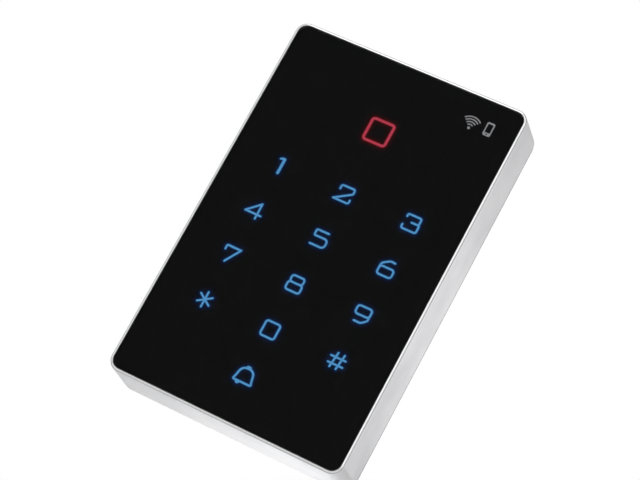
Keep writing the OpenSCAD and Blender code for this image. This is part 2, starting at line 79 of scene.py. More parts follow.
# The housing widens by this much on each side from its front to its rear edge
DRAFT = 0.5
BODY_W = FRAME_HIGH.x - FRAME_LOW.x - 2 * DRAFT
BODY_H = FRAME_HIGH.z - FRAME_LOW.z - 2 * DRAFT
FRONT_Y = FRAME_LOW.y
BODY_R = 4.1
GLASS_W = GLASS_HIGH.x - GLASS_LOW.x
GLASS_H = GLASS_HIGH.z - GLASS_LOW.z
GLASS_GAP = 0.1
LIP = (BODY_W - GLASS_W) / 2 - GLASS_GAP
GLASS_R = BODY_R - LIP - GLASS_GAP
WALL = 1.6
# The lip: a rounded outer edge, a narrow land set back, then a bright cut chamfer beside the glass
EDGE_R, LAND_DROP, CUT_W = 0.22, 0.38, 0.53
REAR_EDGE_R = 0.28
LEDGE_Y = FRONT_Y + 1.8
LEDGE_BACK_Y = LEDGE_Y + 1.4
LEDGE_INSET = 3.5

KEY_PITCH_X = 23.4
KEY_PITCH_Z = 16.2
KEY_ROW_Z = 16.8
STROKE_W = 0.75
INDICATOR_Z = (COIL_LOW.z + COIL_HIGH.z) / 2
INDICATOR_SIZE = 8.6
INDICATOR_STROKE = 1.04
ICON_X, ICON_Z = 25.0, 52.18
PHONE_X, PHONE_Z = 31.0, 54.2

# The print lies just behind the glass, and the lit ink just in front of the print
GLASS_BACK_Y = GLASS_HIGH.y - 0.04
INK_Y = GLASS_HIGH.y - 0.03
INK_T = 0.02
PRINT_Y = GLASS_HIGH.y - 0.01
PRINT_BACK_Y = node_box("mask_film")[1].y

POCKET_W = 57.0
POCKET_TOP, POCKET_BOTTOM = 57.0, -58.0
POCKET_Y = -2.4
FLANGE_T = 1.2
COVER_SCREWS = [(sx * 35.6, sz * 58.6) for sx in (-1, 1) for sz in (-1, 1)]
SCREW_TOP_Y = -0.2
LOCK_Y = -9.0
# Turns pieces made along Y so that they stand along Z on the lock screw's axis
LOCK_AXIS = Matrix.Translation((0, LOCK_Y, 0)) @ Matrix.Rotation(radians(90), 4, "X")
LOCK_BORE_R = 3.2
M3_R, M3_PITCH = 1.5, 0.5
SEAT_CLEARANCE = 0.03
BRACKET_T = 1.2
WALL_HOLE_SPACINGS = (60.3, 83.5)
BEAD_X, BEAD_LENGTH = 22.2, 70.0
HOOK_X = 18.0
TAMPER_X = (PLUNGER_LOW.x + PLUNGER_HIGH.x) / 2
TAMPER_Z = (PLUNGER_LOW.z + PLUNGER_HIGH.z) / 2
PIN_COUNT, PIN_PITCH, PIN_SIDE = 7, 2.54, 0.64


# ---------- Outlines in the plane of the face ----------

def arc(cx, cz, r, start, sweep, steps):
    """Points of an arc, angles in degrees."""
    angles = [radians(start + sweep * k / steps) for k in range(steps + 1)]
    return [(cx + r * cos(t), cz + r * sin(t)) for t in angles]


def rounded_rect(w, h, r, cx=0.0, cz=0.0, steps=8):
    """A rounded rectangle as a function: shape(d) is its outline grown by d."""
    def shape(d):
        rr = max(r + d, 0.05)
        x, z = w / 2 + d - rr, h / 2 + d - rr
        corners = [(x, z, 0), (-x, z, 90), (-x, -z, 180), (x, -z, 270)]
        return [p for px, pz, a in corners for p in arc(cx + px, cz + pz, rr, a, 90, steps)]
    return shape


def disc(r, cx=0.0, cz=0.0, steps=40):
    """A circle as a function: shape(d) is its outline grown by d."""
    def shape(d):
        return arc(cx, cz, r + d, 0, 360, steps)[:-1]
    return shape


def rounded_path(points, r, closed=False, step=12.0):
    """A path with each corner turned into an arc of radius r."""
    p = [Vector(q) for q in points]
    n = len(p)
    out = [] if closed else [p[0]]
    for i in range(0 if closed else 1, n if closed else n - 1):
        a, b, c = p[i - 1], p[i], p[(i + 1) % n]
        u, v = (a - b).normalized(), (c - b).normalized()
        half = acos(max(-1.0, min(1.0, u.dot(v)))) / 2
        if half > radians(88):
            out.append(b)
            continue
        cut = min(r / tan(half), (a - b).length * 0.49, (c - b).length * 0.49)
        radius = cut * tan(half)
        centre = b + (u + v).normalized() * radius / sin(half)
        first = b + u * cut - centre
        sweep = pi - 2 * half
        if u.x * v.y - u.y * v.x > 0:
            sweep = -sweep
        steps = max(2, round(abs(degrees(sweep)) / step))
        for k in range(steps + 1):
            t = sweep * k / steps
            out.append(centre + Vector((first.x * cos(t) - first.y * sin(t),
                                        first.x * sin(t) + first.y * cos(t))))
    if not closed:
        out.append(p[-1])
    return out


def directions(path, closed=False):
    """The unit direction of a path at each of its points."""
    n = len(path)
    ahead = [path[(i + 1) % n] if closed or i < n - 1 else path[i] for i in range(n)]
    behind = [path[i - 1] if closed or i > 0 else path[i] for i in range(n)]
    return [(a - b).normalized() for a, b in zip(ahead, behind)]


# ---------- Mesh building ----------

def ring(bm, outline, y):
    """Vertices round an outline at depth y."""
    return [bm.verts.new((x, y, z)) for x, z in outline]


def bridge(bm, rings, closed=False):
    """Joins each ring of vertices to the next one."""
    following = rings[1:] + (rings[:1] if closed else [])
    for a, b in zip(rings, following):
        for i in range(len(a)):
            j = (i + 1) % len(a)
            bm.faces.new((a[i], a[j], b[j], b[i]))


def cap(bm, loops):
    """Fills the flat face inside the first loop and outside the others."""
    flat = [[Vector((v.co.x, v.co.z, 0.0)) for v in loop] for loop in loops]
    verts = [v for loop in loops for v in loop]
    for corners in geometry.tessellate_polygon(flat):
        bm.faces.new([verts[i] for i in corners])


def rim(shape, y, into, r, side, steps=3):
    """Outlines that round an edge where a wall leaves the face at y in direction into."""
    out = []
    for k in range(steps + 1):
        t = radians(90 * k / steps)
        out.append((shape(side * r * (1 - sin(t))), y + into * r * (1 - cos(t))))
    return out


def wall_between(bm, outlines):
    """A wall through (outline, y) pairs. Returns its first and last ring."""
    rings = [ring(bm, outline, y) for outline, y in outlines]
    bridge(bm, rings)
    return rings[0], rings[-1]


def add_plate(bm, outline, holes, front, back, edge):
    """A slab with holes, its edges rounded by edge."""
    walls = [wall_between(bm, rim(shape, front, 1, edge, side) + rim(shape, back, -1, edge, side)[::-1])
             for shape, side in [(outline, -1)] + [(hole, 1) for hole in holes]]
    for loops in zip(*walls):
        cap(bm, loops)


def closed_tube(bm, rings):
    """A tube through rings of vertices, with flat ends."""
    bridge(bm, rings)
    for end in (rings[0], rings[-1]):
        cap(bm, [end])


def add_lathe(bm, profile, x=0.0, z=0.0, steps=40):
    """A solid turned round an axis along Y. The profile is (radius, y) pairs from end to end."""
    closed_tube(bm, [ring(bm, disc(r, x, z, steps)(0), y) for r, y in profile])


def add_thread(bm, x, z, r, depth, pitch, start, end, steps, rows_per_turn):
    """A shank with a right-handed thread, from y = start to y = end."""
    rows = max(2, round(abs(end - start) / pitch * rows_per_turn))
    rings = []
    for k in range(rows + 1):
        y = start + (end - start) * k / rows
        fade = min(1.0, k / rows_per_turn, (rows - k) / rows_per_turn)
        turn = []
        for i in range(steps):
            phase = (k / rows_per_turn + i / steps) % 1.0
            at = r - abs(2 * phase - 1) * depth * fade
            t = 2 * pi * i / steps
            turn.append((x + at * cos(t), z + at * sin(t)))
        rings.append(ring(bm, turn, y))
    closed_tube(bm, rings)


def add_wire(bm, points, r, sides=8, closed=False):
    """A round wire through points in space."""
    path = [Vector(q) for q in points]
    turns = [2 * pi * k / sides for k in range(sides)]
    side = None
    rings = []
    for at, along in zip(path, directions(path, closed)):
        if side is None:
            side = along.orthogonal().normalized()
        side = (side - along * side.dot(along)).normalized()
        up = along.cross(side)
        rings.append([bm.verts.new(at + r * (side * cos(t) + up * sin(t))) for t in turns])
    bridge(bm, rings, closed)
    if not closed:
        bm.faces.new(rings[0])
        bm.faces.new(rings[-1])


def add_box(bm, centre, size):
    """A plain block, for cutting or as the start of a bevelled piece."""
    place = Matrix.Translation(centre) @ Matrix.Diagonal((*size, 1.0))
    return bmesh.ops.create_cube(bm, size=1.0, matrix=place)["verts"]


def turned(profile, x=0.0, z=0.0, steps=40, upright=False):
    """A turned solid of its own. An upright one stands on the lock screw's axis."""
    bm = bmesh.new()
    add_lathe(bm, profile, x, z, steps)
    if upright:
        bm.transform(LOCK_AXIS)
    return bm


def block(centre, size, edge=0.0):
    """A block of its own, its edges rounded by edge."""
    bm = bmesh.new()
    add_box(bm, centre, size)
    if edge:
        bm.normal_update()
        bmesh.ops.bevel(bm, geom=bm.edges[:], offset=edge, segments=3, profile=0.5,
                        affect="EDGES", clamp_overlap=True)
    return bm


def in_scene(name, data):
    """A new object of the scene."""
    made = bpy.data.objects.new(name, data)
    bpy.context.scene.collection.objects.link(made)
    return made


def object_from(bm, name):
    """Turns a mesh in millimetres into an object in metres."""
    bmesh.ops.recalc_face_normals(bm, faces=bm.faces)
    bm.transform(Matrix.Scale(MM, 4))
    mesh = bpy.data.meshes.new(name)
    bm.to_mesh(mesh)
    bm.free()
    return in_scene(name, mesh)


def combine(piece, other_mesh, operation):
    """Cuts other_mesh out of the piece, or joins it on."""
    tool = object_from(other_mesh, piece.name + "_tool")
    step = piece.modifiers.new("combine", "BOOLEAN")
    step.operation = operation
    step.solver = "EXACT"
    step.object = tool
    bpy.context.view_layer.update()
    shaped = piece.evaluated_get(bpy.context.evaluated_depsgraph_get())
    result = bpy.data.meshes.new_from_object(shaped)
    piece.modifiers.clear()
    piece.data = result
    bpy.data.objects.remove(tool)


def round_piece(piece, width):
    """Rounds the edges of a finished piece that are sharper than 50 degrees."""
    step = piece.modifiers.new("edges", "BEVEL")
    step.width = width * MM
    step.segments = 2
    step.limit_method = "ANGLE"
    step.angle_limit = radians(50)


def dress(piece, material):
    """Gives a piece its one material."""
    piece.data.materials.clear()
    piece.data.materials.append(MATERIALS[material])


def finish_piece(piece, material, node=None, body="housing", sharp=32.0):
    """Shading, material and body of a piece, and the CAD node that it replaces."""
    for face in piece.data.polygons:
        face.use_smooth = True
    piece.data.set_sharp_from_angle(angle=radians(sharp))
    piece.modifiers.new("even_normals", "WEIGHTED_NORMAL").keep_sharp = True
    dress(piece, material)
    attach(piece, body)
    if node:
        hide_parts(node)
    return piece


# ---------- Material building ----------

MATERIALS = {}


def add_node(tree, kind, links=(), **values):
    """A node with its properties set and its inputs set or wired."""
    node = tree.nodes.new(kind)
    for key, value in values.items():
        setattr(node, key, value)
    for key, source in dict(links).items():
        if isinstance(source, (int, float, tuple)):
            node.inputs[key].default_value = source
        else:
            tree.links.new(source, node.inputs[key])
    return node


class Paint:
    """A Principled material and short ways to wire its nodes. Lengths are in millimetres."""

    def __init__(self, name, metallic=0.0, **sockets):
        MATERIALS[name] = bpy.data.materials.new(name)
        MATERIALS[name].use_nodes = True
        self.tree = MATERIALS[name].node_tree
        self.shader = self.tree.nodes["Principled BSDF"]
        self.shader.inputs["Metallic"].default_value = metallic
        for key, value in sockets.items():
            self.shader.inputs[key.replace("_", " ")].default_value = value
        self.place = self.add("ShaderNodeTexCoord").outputs["Object"]

    def add(self, kind, links=(), **values):
        return add_node(self.tree, kind, links, **values)

    def noise(self, size, detail=3.0, roughness=0.55, stretch=(1.0, 1.0, 1.0)):
        """Noise whose blobs are about size across, drawn out along an axis by stretch."""
        scale = tuple(1.0 / s for s in stretch)
        scaled = self.add("ShaderNodeMapping", {"Vector": self.place, "Scale": scale}).outputs[0]
        return self.add("ShaderNodeTexNoise", {"Vector": scaled, "Scale": 1.0 / (size * MM),
                                               "Detail": detail, "Roughness": roughness}).outputs["Fac"]

    def span(self, value, low=0.0, high=1.0, start=0.3, stop=0.7):
        """Spreads a value from start..stop over low..high."""
        return self.add("ShaderNodeMapRange", {"Value": value, "From Min": start, "From Max": stop,
                                               "To Min": low, "To Max": high}).outputs[0]

    def blend(self, amount, first, second):
        """Mixes two colours."""
        opaque = [(*c, 1.0) if isinstance(c, tuple) else c for c in (first, second)]
        return self.add("ShaderNodeMix", {0: amount, 6: opaque[0], 7: opaque[1]}, data_type="RGBA").outputs[2]

    def math(self, operation, a, b):
        return self.add("ShaderNodeMath", {0: a, 1: b}, operation=operation).outputs[0]

    def mean(self, a, b, share=0.5):
        """The mean of two values, with the second's share."""
        return self.math("ADD", self.math("MULTIPLY", a, 1 - share), self.math("MULTIPLY", b, share))

    def edges(self, base, worn, radius, amount):
        """The base colour, turned into the worn one along the piece's edges."""
        rounded = self.add("ShaderNodeBevel", {"Radius": radius * MM}, samples=6).outputs[0]
        true = self.add("ShaderNodeNewGeometry").outputs["Normal"]
        same = self.add("ShaderNodeVectorMath", {0: rounded, 1: true}, operation="DOT_PRODUCT")
        on_edge = self.span(same.outputs["Value"], 1.0, 0.0, 0.80, 0.995)
        return self.blend(self.math("MULTIPLY", on_edge, amount), base, worn)

    def surface(self, colour, gloss):
        self.tree.links.new(colour, self.shader.inputs["Base Color"])
        self.tree.links.new(gloss, self.shader.inputs["Roughness"])

    def relief(self, height, depth, strength=1.0, under=None):
        """Bump of the given depth, over another one."""
        links = {"Height": height, "Distance": depth * MM, "Strength": strength}
        if under is not None:
            links["Normal"] = under
        bump = self.add("ShaderNodeBump", links).outputs[0]
        self.tree.links.new(bump, self.shader.inputs["Normal"])
        return bump


def shade(colour, factor):
    """A colour made lighter or darker."""
    return tuple(min(1.0, c * factor) for c in colour)


def moulded(name, colour, roughness, grain=0.25, depth=0.012, mottle=0.12, worn=None, **sockets):
    """A moulded surface: fine grain, faint mottling, and paler worn edges."""
    paint = Paint(name, **sockets)
    fine = paint.noise(grain, 2.0, 0.6)
    broad = paint.noise(14.0, 3.0, 0.5)
    base = paint.blend(paint.span(broad), shade(colour, 1 - mottle), shade(colour, 1 + mottle))
    if worn:
        base = paint.edges(base, worn, 0.25, paint.span(paint.noise(2.5), 0.25, 1.0))
    paint.surface(base, paint.span(paint.mean(fine, broad), roughness - 0.05, roughness + 0.05))
    paint.relief(fine, depth)


def brushed(name, colour, roughness, grain=0.10, stretch=(1.0, 1.0, 1.0), tint=None, **sockets):
    """Metal with fine lines along one axis, soft stains and bright edges."""
    paint = Paint(name, 1.0, **sockets)
    lines = paint.noise(grain, 3.0, 0.65, stretch)
    stain = paint.noise(7.0, 4.0, 0.6)
    base = paint.blend(paint.span(stain), shade(colour, 0.88), tint or shade(colour, 1.08))
    base = paint.blend(paint.span(lines, 0.0, 0.35, 0.4, 0.7), base, shade(colour, 0.72))
    base = paint.edges(base, shade(colour, 1.35), 0.2, 0.7)
    paint.surface(base, paint.span(lines, roughness - 0.07, roughness + 0.09))
    paint.relief(lines, 0.004, 0.7)


def satin_aluminium():
    """Bead-blasted, anodised frame: very fine grain over faint long draw lines."""
    paint = Paint("satin_aluminium", 1.0)
    beads = paint.noise(0.16, 2.0, 0.7)
    draw = paint.noise(0.5, 3.0, 0.6, stretch=(14.0, 0.5, 14.0))
    tone = paint.span(paint.mean(draw, paint.noise(22.0, 2.0, 0.5), 0.55), 0.0, 1.0, 0.35, 0.65)
    base = paint.blend(tone, (0.69, 0.69, 0.705), (0.86, 0.86, 0.87))
    base = paint.edges(base, (0.93, 0.93, 0.94), 0.2, 0.5)
    paint.surface(base, paint.span(beads, 0.37, 0.47))
    paint.relief(beads, 0.007, 0.7, paint.relief(draw, 0.004, 0.6))


def cut_aluminium():
    """The bright diamond-cut chamfer of the lip, with the tool's fine lines."""
    paint = Paint("cut_aluminium", 1.0)
    lines = paint.noise(0.12, 2.0, 0.6, stretch=(6.0, 1.0, 6.0))
    patches = paint.span(paint.noise(3.0, 2.0))
    paint.surface(paint.blend(patches, (0.90, 0.90, 0.91), (0.97, 0.97, 0.975)),
                  paint.span(lines, 0.16, 0.30))
    paint.relief(lines, 0.002, 0.5)


def clear_glass():
    """Polished glass with a faint unevenness in its gloss."""
    paint = Paint("tempered_glass", Transmission_Weight=1.0, IOR=1.5)
    smears = paint.noise(9.0, 4.0, 0.6, stretch=(1.0, 1.0, 1.6))
    paint.surface(paint.blend(paint.span(smears), (0.93, 0.95, 0.95), (0.97, 0.98, 0.98)),
                  paint.span(smears, 0.008, 0.030))
    paint.relief(paint.noise(24.0, 1.0), 0.01, 0.15)


def glowing(name, base, grain=0.12):
    """Ink or film lit from behind: its glow is stored in the mesh, and the ink has a fine grain."""
    paint = Paint(name, Specular_IOR_Level=0.05, Emission_Strength=1.0)
    grains = paint.noise(grain, 2.0, 0.6)
    paint.surface(paint.blend(paint.span(grains), shade(base, 0.85), shade(base, 1.15)),
                  paint.span(grains, 0.38, 0.52))
    glow = paint.add("ShaderNodeAttribute", attribute_name="glow").outputs["Color"]
    uneven = paint.span(paint.noise(0.6, 2.0, 0.5), 0.0, 0.18)
    paint.tree.links.new(paint.blend(uneven, glow, (0.0, 0.0, 0.0)), paint.shader.inputs["Emission Color"])
    paint.relief(grains, 0.004, 0.4)


def circuit_board(name, mask, copper):
    """Solder mask over copper tracks: the tracks stand a little proud and look paler."""
    paint = Paint(name, Coat_Weight=0.3, Coat_Roughness=0.15)
    turned_up = (radians(90), 0.0, 0.0)
    flat = paint.add("ShaderNodeMapping", {"Vector": paint.place, "Rotation": turned_up}).outputs[0]
    white = (1.0, 1.0, 1.0, 1.0)
    gaps = paint.add("ShaderNodeTexBrick", {
        "Vector": flat, "Color1": white, "Color2": white, "Mortar": (0.0, 0.0, 0.0, 1.0),
        "Scale": 1.0 / MM, "Mortar Size": 0.16, "Mortar Smooth": 0.1, "Brick Width": 9.0,
        "Row Height": 0.9}, offset=0.37, offset_frequency=3, squash=0.6, squash_frequency=4).outputs["Fac"]
    areas = paint.span(paint.noise(6.0, 1.0), 0.0, 1.0, 0.44, 0.5)
    tracks = paint.math("MULTIPLY", paint.math("SUBTRACT", 1.0, gaps), areas)
    weave = paint.noise(0.4, 2.0, 0.5, stretch=(3.0, 1.0, 1.0))
    base = paint.blend(paint.span(weave, 0.0, 0.3), mask, shade(mask, 0.6))
    paint.surface(paint.blend(tracks, base, copper), paint.span(weave, 0.26, 0.38))
    paint.relief(tracks, 0.03, 0.5)


def label_paper():
    """Matte paper with short fibres and faintly grubby edges."""
    paint = Paint("label_white")
    fibres = paint.noise(0.2, 4.0, 0.7, stretch=(5.0, 1.0, 1.0))
    base = paint.blend(paint.span(fibres), (0.72, 0.72, 0.70), (0.82, 0.82, 0.80))
    paint.surface(paint.edges(base, (0.6, 0.59, 0.56), 0.4, 0.4), paint.span(fibres, 0.62, 0.78))
    paint.relief(fibres, 0.01, 0.6)


def floor_paint():
    """Plain pale floor."""
    paint = Paint("studio_floor")
    cloud = paint.noise(600.0, 2.0)
    paint.surface(paint.blend(paint.span(cloud), (0.80, 0.80, 0.80), (0.84, 0.84, 0.84)),
                  paint.span(cloud, 0.65, 0.75))


def make_materials():
    """Every material, from the outside in. Each is kept in MATERIALS by its name."""
    floor_paint()
    satin_aluminium()
    cut_aluminium()
    clear_glass()
    glowing("black_print", (0.0060, 0.0055, 0.0066), grain=2.0)
    glowing("lit_ink", (0.02, 0.05, 0.10))
    # The grey ink's faint white emission is a painted glow: the printed icons give no light of their own.
    moulded("grey_ink", (0.60, 0.605, 0.61), 0.55, grain=0.15, mottle=0.08,
            Emission_Color=(0.95, 0.95, 1.0, 1.0), Emission_Strength=0.12)
    moulded("blue_lit_diffuser", (0.10, 0.32, 0.85), 0.5,
            Emission_Color=(0.08, 0.30, 0.90, 1.0), Emission_Strength=0.4)
    moulded("red_lit_diffuser", (0.80, 0.06, 0.08), 0.5,
            Emission_Color=(0.75, 0.05, 0.08, 1.0), Emission_Strength=0.4)
    moulded("adhesive_foam", (0.02, 0.02, 0.02), 0.85, grain=0.3, depth=0.05)
    circuit_board("green_board", (0.012, 0.13, 0.055), (0.03, 0.26, 0.10))
    circuit_board("blue_board", (0.015, 0.04, 0.18), (0.04, 0.10, 0.32))
    moulded("white_moulding", (0.78, 0.77, 0.72), 0.42, grain=0.2, worn=(0.62, 0.60, 0.54),
            Subsurface_Weight=0.08)
    moulded("black_connector", (0.028, 0.028, 0.028), 0.45, worn=(0.10, 0.10, 0.10))
    moulded("led_package", (0.82, 0.80, 0.66), 0.25, mottle=0.06, Coat_Weight=0.5)
    moulded("chip_epoxy", (0.028, 0.028, 0.030), 0.6, grain=0.12, worn=(0.08, 0.08, 0.08))
    moulded("relay_case", (0.03, 0.14, 0.45), 0.30, worn=(0.12, 0.26, 0.58))
    moulded("ferrite_grey", (0.10, 0.10, 0.11), 0.55, grain=0.2, depth=0.03, worn=(0.22, 0.22, 0.22))
    moulded("tamper_red", (0.55, 0.025, 0.015), 0.32, grain=0.3, worn=(0.68, 0.12, 0.09))
    moulded("black_abs", (0.020, 0.020, 0.022), 0.52, grain=0.22, depth=0.035, mottle=0.10,
            worn=(0.075, 0.075, 0.08))
    moulded("black_gasket", (0.032, 0.032, 0.035), 0.75, grain=0.15, depth=0.03)
    label_paper()
    brushed("gold_copper", (0.80, 0.52, 0.22), 0.28, stretch=(3.0, 1.0, 3.0))
    brushed("enamel_copper", (0.62, 0.24, 0.09), 0.25, Coat_Weight=0.6, Coat_Roughness=0.1)
    brushed("zinc_steel", (0.60, 0.61, 0.63), 0.36, grain=0.12, stretch=(1.0, 1.0, 26.0),
            tint=(0.68, 0.67, 0.62))
    brushed("black_steel", (0.045, 0.045, 0.048), 0.38)
    brushed("tinned_can", (0.62, 0.62, 0.62), 0.30, grain=0.3, stretch=(4.0, 4.0, 1.0))
    brushed("capacitor_can", (0.70, 0.71, 0.74), 0.25, stretch=(1.0, 8.0, 1.0))
    brushed("spring_steel", (0.58, 0.58, 0.60), 0.22)
    brushed("lock_brass", (0.72, 0.50, 0.19), 0.26, stretch=(6.0, 6.0, 1.0))
    brushed("stainless", (0.60, 0.60, 0.61), 0.24, grain=0.08, stretch=(5.0, 5.0, 1.0))


# The CAD nodes that stay as they are, by material
CAD_NODES = {
    "adhesive_foam": "panel_gasket", "blue_lit_diffuser": "key_diffuser",
    "red_lit_diffuser": "indicator_diffuser", "green_board": "touch_board main_board",
    "gold_copper": "touch_electrodes", "white_moulding": "light_baffle indicator_light_pipe",
    "black_connector": "board_link buzzer tamper_switch", "led_package": "key_leds indicator_led",
    "chip_epoxy": "controller_chip touch_chip", "blue_board": "wireless_module",
    "tinned_can": "module_shield", "relay_case": "relay", "ferrite_grey": "power_inductor",
    "capacitor_can": "power_capacitor", "black_gasket": "rear_gasket", "label_white": "blank_label",
    "lock_brass": "lock_insert", "zinc_steel": "board_screws",
}


def finish_cad_nodes():
    """Gives each CAD node that stays its material and a fine bevel."""
    for material, nodes in CAD_NODES.items():
        for piece in (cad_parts[node] for node in nodes.split()):
            dress(piece, material)
            piece.modifiers.new("weld", "WELD").merge_threshold = 0.001 * MM
            round_piece(piece, 0.06)


# ---------- Front: frame, glass, print and lit symbols ----------

GLASS_SHAPE = rounded_rect(GLASS_W, GLASS_H, GLASS_R, steps=14)


def frame_profile():
    """Section of the frame wall as (inset from the front outline, y), starting at the rear edge."""
    back, land = FRAME_HIGH.y, FRONT_Y + LAND_DROP
    rear = [(REAR_EDGE_R * (1 - sin(t)) - DRAFT, back - REAR_EDGE_R * (1 - cos(t)))
            for t in map(radians, (0, 30, 60, 90))]
    shoulder = [(EDGE_R * (1 - cos(t)), land + EDGE_R * (1 - sin(t)))
                for t in map(radians, (0, 18, 36, 54, 72, 90))]
    bevel = [(LIP - CUT_W, land), (LIP - 0.09, FRONT_Y), (LIP - 0.05, FRONT_Y), (LIP, FRONT_Y + 0.05)]
    inside = [(LIP, LEDGE_Y), (LEDGE_INSET, LEDGE_Y), (LEDGE_INSET, LEDGE_BACK_Y), (WALL, LEDGE_BACK_Y),
              (WALL, back)]
    return rear + shoulder + bevel + inside


def front_frame():
    """The aluminium frame: a ring with a bright cut lip, screw bosses and the lock screw's bore."""
    outline = rounded_rect(BODY_W, BODY_H, BODY_R, steps=14)
    bm = bmesh.new()
    bridge(bm, [ring(bm, outline(-inset), y) for inset, y in frame_profile()], closed=True)
    piece = object_from(bm, "satin_frame")

    boss = [(4.4, INSERT_LOW.z), (4.4, BODY_H / 2 - WALL + 0.4)]
    combine(piece, turned(boss, upright=True), "UNION")
    boss = [(3.1, LEDGE_BACK_Y - 0.1), (3.1, -4.3), (2.9, -4.1)]
    for x, z in COVER_SCREWS:
        combine(piece, turned(boss, x, z, 28), "UNION")
    seat_z = INSERT_HIGH.z
    wall_z = FRAME_HIGH.z - DRAFT * (FRAME_HIGH.y - LOCK_Y) / (FRAME_HIGH.y - FRONT_Y)
    bore = [(2.1, INSERT_LOW.z - 1), (2.1, seat_z), (LOCK_BORE_R, seat_z), (LOCK_BORE_R, wall_z - 0.25),
            (LOCK_BORE_R + 0.5, wall_z + 0.25)]
    combine(piece, turned(bore, upright=True), "DIFFERENCE")
    bore = [(1.05, -16), (1.05, -4.4), (1.5, -3.9)]
    for x, z in COVER_SCREWS:
        combine(piece, turned(bore, x, z, 20), "DIFFERENCE")

    finish_piece(piece, "satin_aluminium", "front_frame", sharp=20.0)
    piece.data.materials.append(MATERIALS["cut_aluminium"])
    bright = (FRONT_Y + LAND_DROP * 0.9) * MM
    for face in piece.data.polygons:
        face.material_index = 1 if face.center.y < bright and face.normal.y < -0.5 else 0


def glass_panel():
    """The front glass, with small polished edges."""
    bm = bmesh.new()
    add_plate(bm, GLASS_SHAPE, [], GLASS_LOW.y, GLASS_BACK_Y, 0.18)
    finish_piece(object_from(bm, "front_glass"), "tempered_glass", "glass_panel")


GX, GZ = 2.45, 2.5
# Each symbol is a list of strokes: (closed, corner radius, points in millimetres from the key's middle)
SYMBOLS = {
    "one": [(False, 0.12, [(-0.7, 2.2), (0.0, GZ), (0.71, GZ), (0.71, -GZ)]),
            (False, 0.25, [(-0.05, 2.35), (0.47, 2.15), (0.47, -GZ)])],
    "two": [(False, 0.6, [(-2.2, 1.15), (-2.2, GZ), (GX, GZ), (GX, 0.9), (-GX - 0.35, -GZ + 0.05)]),
            (False, 0.6, [(-GX - 0.35, -GZ + 0.05), (GX, -GZ), (GX, -1.3)])],
    "three": [(False, 0.6, [(-2.25, 1.6), (-2.25, GZ), (2.4, GZ), (2.4, 0.22), (0.0, 0.22)]),
              (False, 0.6, [(0.0, 0.22), (2.65, 0.22), (2.65, -GZ), (-GX, -GZ), (-GX, -1.3)])],
    "four": [(False, 0.3, [(1.35, GZ), (-2.75, -1.2)]), (False, 0.3, [(-2.75, -1.2), (2.65, -1.25)]),
             (False, 0.4, [(1.35, GZ), (1.4, -GZ - 0.1)])],
    "five": [(False, 0.45, [(1.75, GZ), (-2.35, GZ), (-2.35, 0.5), (0.0, 0.5)]),
             (False, 1.2, [(-0.3, 0.5), (GX, 0.5), (GX, -GZ), (-2.35, -GZ)])],
    "six": [(True, 0.9, [(-GX, 0.3), (GX, 0.3), (GX, -GZ), (-GX, -GZ)]),
            (False, 1.2, [(1.55, GZ), (0.1, GZ + 0.15), (-GX + 0.05, 1.1), (-GX, -0.6)])],
    "seven": [(False, 0.45, [(-2.25, 1.1), (-2.3, GZ), (GX + 0.2, GZ - 0.05)]),
              (False, 0.45, [(GX + 0.2, GZ - 0.05), (-0.6, -GZ - 0.1)])],
    "eight": [(True, 0.8, [(-2.15, GZ), (2.15, GZ), (2.15, 0.25), (-2.15, 0.25)]),
              (True, 0.8, [(-GX, 0.25), (GX, 0.25), (GX, -GZ), (-GX, -GZ)])],
    "nine": [(True, 0.9, [(-GX, GZ), (GX, GZ), (GX, -0.3), (-GX, -0.3)]),
             (False, 1.2, [(GX, 0.4), (2.4, -1.3), (0.7, -GZ - 0.15), (-1.5, -GZ - 0.1)])],
    "zero": [(True, 0.8, [(-GX, GZ), (GX, GZ), (GX, -GZ), (-GX, -GZ)])],
    "star": [(False, 0.4, [(r * sin(a), r * cos(a)), (-r * sin(a), -r * cos(a))])
             for r, a in ((2.5, 0.0), (2.45, radians(57)), (2.45, radians(-57)))],
    "hash": [(False, 0.4, [(x, 2.4), (x - 0.6, -2.4)]) for x in (-0.8, 1.4)]
            + [(False, 0.4, [(-2.5, z), (2.4, z)]) for z in (0.95, -1.25)],
    "bell": [(False, 2.2, [(-2.75, -0.9), (-2.05, 2.5), (2.05, 2.5), (2.75, -0.9)]),
             (False, 0.3, [(-2.75, -0.9), (-3.15, -2.1), (3.15, -2.1), (2.75, -0.9)]),
             (False, 0.4, [(-0.45, 3.0), (0.45, 3.0)]),
             (False, 0.3, [(-1.9, -2.4), (-1.4, -2.85), (-0.9, -2.4)])],
}
KEYPAD = [("one", "two", "three"), ("four", "five", "six"), ("seven", "eight", "nine"),
          ("star", "zero", "hash"), (None, "bell", None)]
# The square status ring over the keys, in the same form
RING_HALF = (INDICATOR_SIZE - INDICATOR_STROKE) / 2
INDICATOR = [(True, 0.9, [(-RING_HALF, RING_HALF), (RING_HALF, RING_HALF),
                          (RING_HALF, -RING_HALF), (-RING_HALF, -RING_HALF)])]

# Linear colours of the light in the strokes' middle, at their edges and round them
BLUE_CORE = (0.117, 0.350, 0.630)
BLUE_EDGE = (0.014, 0.18, 0.47)
BLUE_HALO = (0.0003, 0.013, 0.062)
RED_CORE = (0.60, 0.043, 0.068)
RED_EDGE = (0.22, 0.004, 0.009)
RED_HALO = (0.045, 0.0, 0.0)
# Grid of the print round a symbol
GLOW_PITCH = 0.25


def key_places():
    """(symbol, x, z) of every key."""
    return [(name, (column - 1) * KEY_PITCH_X, KEY_ROW_Z - row * KEY_PITCH_Z)
            for row, names in enumerate(KEYPAD) for column, name in enumerate(names) if name]


def stroke_paths(strokes, x, z):
    """Centre lines of a symbol's strokes, as (closed, points)."""
    return [(closed, [Vector((q.x + x, q.y + z)) for q in rounded_path(points, r, closed)])
            for closed, r, points in strokes]


